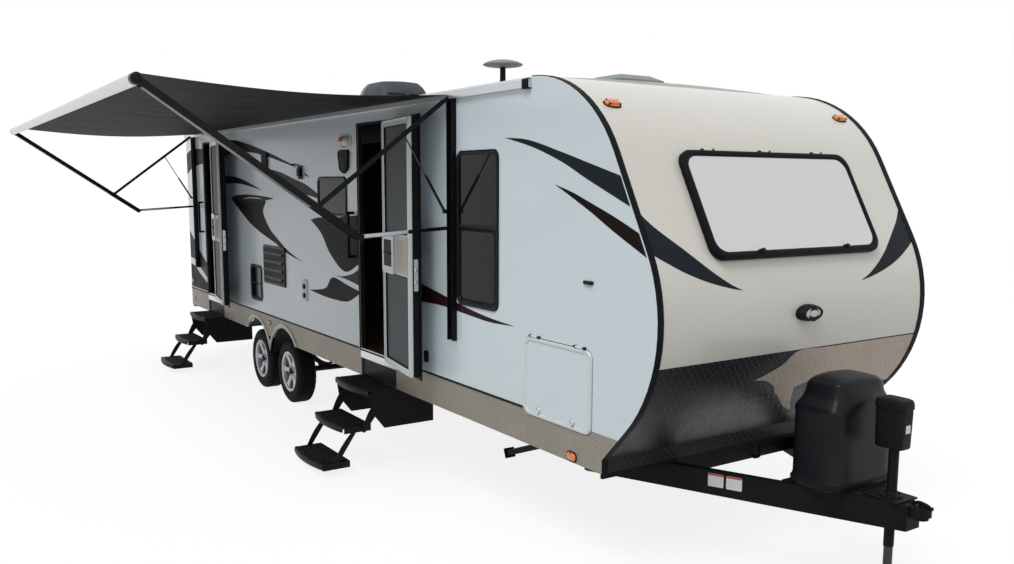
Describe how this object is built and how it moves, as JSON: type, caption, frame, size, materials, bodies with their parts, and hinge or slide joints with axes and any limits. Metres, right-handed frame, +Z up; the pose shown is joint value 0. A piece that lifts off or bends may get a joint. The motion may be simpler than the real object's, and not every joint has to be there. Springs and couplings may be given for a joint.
{
  "type": "travel_trailer",
  "caption": "Long hollow travel caravan parked on its tongue jack, with open doors, fold-down steps, an awning held out on hinged arms, and twin-axle running gear.",
  "frame": {"origin": "centre of the tongue jack's foot plate, on the ground", "axes": "+X towards the coupler (front), +Y to the left side seen looking forwards, +Z up; the doors and the awning are on the -Y side"},
  "size_m": [10.515, 4.6249, 3.434],
  "materials": {
    "black_paint": "semi_gloss",
    "wall_skin": "gloss",
    "cap_skin": "gloss",
    "black_trim": "satin",
    "floor_board": "matte",
    "roof_skin": "matte",
    "skirt_skin": "satin",
    "pane": "gloss",
    "white_metal": "semi_gloss",
    "black_plastic": "semi_gloss",
    "white_plastic": "satin",
    "alloy": "satin",
    "bright_steel": "brushed",
    "sheet": "woven",
    "tyre": "matte",
    "rim": "satin"
  },
  "bodies": {
    "trailer": {"chassis_frame": "black_paint", "a_frame": "black_paint", "coupler": "black_paint", "axles": "black_paint", "floor": "floor_board", "right_wall": "wall_skin", "left_wall": "wall_skin", "front_cap": "cap_skin", "lower_front_panel": "black_trim", "rear_wall": "wall_skin", "roof": "roof_skin", "skirts": "skirt_skin", "body_trims": "black_trim", "window_frames": "black_trim", "window_glass": "pane", "door_trims": "black_trim", "wall_fittings": "black_plastic", "roof_units": "white_plastic", "awning_rail": "white_metal", "awning_channels": "alloy", "awning_fabric": "sheet", "gas_cover": "black_plastic", "jack_body": "black_paint", "front_step_base": "black_paint", "rear_step_base": "black_paint"},
    "wheel_front_right": {"tyre_front_right": "tyre", "rim_front_right": "rim"},
    "wheel_front_left": {"tyre_front_left": "tyre", "rim_front_left": "rim"},
    "wheel_rear_right": {"tyre_rear_right": "tyre", "rim_rear_right": "rim"},
    "wheel_rear_left": {"tyre_rear_left": "tyre", "rim_rear_left": "rim"},
    "front_door_leaf": {"front_door": "wall_skin", "front_door_screen": "white_metal"},
    "rear_door_leaf": {"rear_door": "wall_skin", "rear_door_screen": "white_metal"},
    "baggage_right_leaf": {"baggage_door_right": "wall_skin"},
    "baggage_left_leaf": {"baggage_door_left": "wall_skin"},
    "guard": {"rock_guard": "cap_skin"},
    "vent_lid": {"roof_vent_lid": "white_plastic"},
    "jack_inner": {"jack_leg": "bright_steel"},
    "stabiliser_front_right_leg": {"stabiliser_front_right": "black_paint"},
    "stabiliser_front_left_leg": {"stabiliser_front_left": "black_paint"},
    "stabiliser_rear_right_leg": {"stabiliser_rear_right": "black_paint"},
    "stabiliser_rear_left_leg": {"stabiliser_rear_left": "black_paint"},
    "upper_arms": {"awning_upper_arms": "alloy"},
    "outer_arms": {"awning_outer_arms": "alloy", "awning_roller": "alloy"},
    "lower_arms": {"awning_lower_arms": "alloy"},
    "strut_tubes": {"awning_strut_tubes": "alloy"},
    "strut_rods": {"awning_strut_rods": "bright_steel"},
    "front_step_arms_body": {"front_step_arms": "black_paint"},
    "front_step_middle_body": {"front_step_middle": "black_paint"},
    "front_step_links_body": {"front_step_links": "black_paint"},
    "front_step_lower_body": {"front_step_lower": "black_paint"},
    "rear_step_arms_body": {"rear_step_arms": "black_paint"},
    "rear_step_middle_body": {"rear_step_middle": "black_paint"},
    "rear_step_links_body": {"rear_step_links": "black_paint"},
    "rear_step_lower_body": {"rear_step_lower": "black_paint"}
  },
  "joints": [
    {"name": "wheel_front_right_spin", "type": "hinge", "parent": "trailer", "child": "wheel_front_right", "pos_m": [-6.408, -1.0825, 0.34], "axis": [0, 1, 0], "continuous": true},
    {"name": "wheel_front_left_spin", "type": "hinge", "parent": "trailer", "child": "wheel_front_left", "pos_m": [-6.408, 1.0825, 0.34], "axis": [0, 1, 0], "continuous": true},
    {"name": "wheel_rear_right_spin", "type": "hinge", "parent": "trailer", "child": "wheel_rear_right", "pos_m": [-7.297, -1.0825, 0.34], "axis": [0, 1, 0], "continuous": true},
    {"name": "wheel_rear_left_spin", "type": "hinge", "parent": "trailer", "child": "wheel_rear_left", "pos_m": [-7.297, 1.0825, 0.34], "axis": [0, 1, 0], "continuous": true},
    {"name": "front_door_swing", "type": "hinge", "parent": "trailer", "child": "front_door_leaf", "pos_m": [-3.728, -1.24, 1.85], "axis": [0, 0, 1], "range_deg": [-170.7, 0]},
    {"name": "rear_door_swing", "type": "hinge", "parent": "trailer", "child": "rear_door_leaf", "pos_m": [-8.543, -1.24, 1.85], "axis": [0, 0, 1], "range_deg": [-170.7, 0]},
    {"name": "baggage_right_lift", "type": "hinge", "parent": "trailer", "child": "baggage_right_leaf", "pos_m": [-1.525, -1.231, 1.393], "axis": [-1, 0, 0], "range_deg": [0, 160]},
    {"name": "baggage_left_lift", "type": "hinge", "parent": "trailer", "child": "baggage_left_leaf", "pos_m": [-1.525, 1.231, 1.393], "axis": [1, 0, 0], "range_deg": [0, 160]},
    {"name": "rock_guard_lift", "type": "hinge", "parent": "trailer", "child": "guard", "pos_m": [-1.01306, 0, 2.56152], "axis": [0, -1, 0], "range_deg": [0, 90]},
    {"name": "vent_lid_lift", "type": "hinge", "parent": "trailer", "child": "vent_lid", "pos_m": [-2.606, 0, 3.0814], "axis": [0, -1, 0], "range_deg": [0, 60]},
    {"name": "jack_slide", "type": "slide", "parent": "trailer", "child": "jack_inner", "axis": [0, 0, 1], "range_m": [0, 0.31]},
    {"name": "stabiliser_front_right_swing", "type": "hinge", "parent": "trailer", "child": "stabiliser_front_right_leg", "pos_m": [-2, -0.8, 0.585], "axis": [0, 1, 0], "range_deg": [-28, 19]},
    {"name": "stabiliser_front_left_swing", "type": "hinge", "parent": "trailer", "child": "stabiliser_front_left_leg", "pos_m": [-2, 0.8, 0.585], "axis": [0, 1, 0], "range_deg": [-28, 19]},
    {"name": "stabiliser_rear_right_swing", "type": "hinge", "parent": "trailer", "child": "stabiliser_rear_right_leg", "pos_m": [-9.1, -0.8, 0.585], "axis": [0, 1, 0], "range_deg": [-28, 19]},
    {"name": "stabiliser_rear_left_swing", "type": "hinge", "parent": "trailer", "child": "stabiliser_rear_left_leg", "pos_m": [-9.1, 0.8, 0.585], "axis": [0, 1, 0], "range_deg": [-28, 19]},
    {"name": "awning_fold", "type": "hinge", "parent": "trailer", "child": "upper_arms", "pos_m": [-6, -1.287, 2.949], "axis": [1, 0, 0], "range_deg": [0, 52.6], "deforming": ["awning_fabric"]},
    {"name": "awning_outer_fold", "type": "hinge", "parent": "upper_arms", "child": "outer_arms", "pos_m": [-6, -2.26413, 2.20193], "axis": [1, 0, 0], "range_deg": [-107.9, 0]},
    {"name": "awning_lower_fold", "type": "hinge", "parent": "trailer", "child": "lower_arms", "pos_m": [-6, -1.287, 2.038], "axis": [1, 0, 0], "range_deg": [0, 86.5]},
    {"name": "awning_tube_swing", "type": "hinge", "parent": "trailer", "child": "strut_tubes", "pos_m": [-6, -1.287, 2.158], "axis": [1, 0, 0], "range_deg": [-31.1, 0]},
    {"name": "awning_rod_slide", "type": "slide", "parent": "strut_tubes", "child": "strut_rods", "axis": [0, -0.5151, 0.8571], "range_m": [-0.2516, 0]},
    {"name": "front_step_fold", "type": "hinge", "parent": "trailer", "child": "front_step_arms_body", "pos_m": [-4.085, -1.3, 0.634], "axis": [1, 0, 0], "range_deg": [0, 120]},
    {"name": "front_step_middle_turn", "type": "hinge", "parent": "front_step_arms_body", "child": "front_step_middle_body", "pos_m": [-4.085, -1.507, 0.355], "axis": [1, 0, 0], "range_deg": [-120, 0]},
    {"name": "front_step_link_fold", "type": "hinge", "parent": "front_step_middle_body", "child": "front_step_links_body", "pos_m": [-4.085, -1.575, 0.355], "axis": [1, 0, 0], "range_deg": [-49.8, 0]},
    {"name": "front_step_lower_turn", "type": "hinge", "parent": "front_step_links_body", "child": "front_step_lower_body", "pos_m": [-4.085, -1.765, 0.076], "axis": [1, 0, 0], "range_deg": [0, 49.8]},
    {"name": "rear_step_fold", "type": "hinge", "parent": "trailer", "child": "rear_step_arms_body", "pos_m": [-8.9, -1.3, 0.634], "axis": [1, 0, 0], "range_deg": [0, 120]},
    {"name": "rear_step_middle_turn", "type": "hinge", "parent": "rear_step_arms_body", "child": "rear_step_middle_body", "pos_m": [-8.9, -1.507, 0.355], "axis": [1, 0, 0], "range_deg": [-120, 0]},
    {"name": "rear_step_link_fold", "type": "hinge", "parent": "rear_step_middle_body", "child": "rear_step_links_body", "pos_m": [-8.9, -1.575, 0.355], "axis": [1, 0, 0], "range_deg": [-49.8, 0]},
    {"name": "rear_step_lower_turn", "type": "hinge", "parent": "rear_step_links_body", "child": "rear_step_lower_body", "pos_m": [-8.9, -1.765, 0.076], "axis": [1, 0, 0], "range_deg": [0, 49.8]}
  ],
  "couplings": [
    {"joint": "awning_outer_fold", "follows": "awning_fold", "ratio": -2.0494},
    {"joint": "awning_lower_fold", "follows": "awning_fold", "ratio": 1.6426},
    {"joint": "awning_tube_swing", "follows": "awning_fold", "ratio": -0.589},
    {"joint": "awning_rod_slide", "follows": "awning_fold", "m_per_rad": -0.2737},
    {"joint": "front_step_middle_turn", "follows": "front_step_fold", "ratio": -1},
    {"joint": "front_step_link_fold", "follows": "front_step_fold", "ratio": -0.41417},
    {"joint": "front_step_lower_turn", "follows": "front_step_fold", "ratio": 0.41417},
    {"joint": "rear_step_middle_turn", "follows": "rear_step_fold", "ratio": -1},
    {"joint": "rear_step_link_fold", "follows": "rear_step_fold", "ratio": -0.41417},
    {"joint": "rear_step_lower_turn", "follows": "rear_step_fold", "ratio": 0.41417}
  ]
}
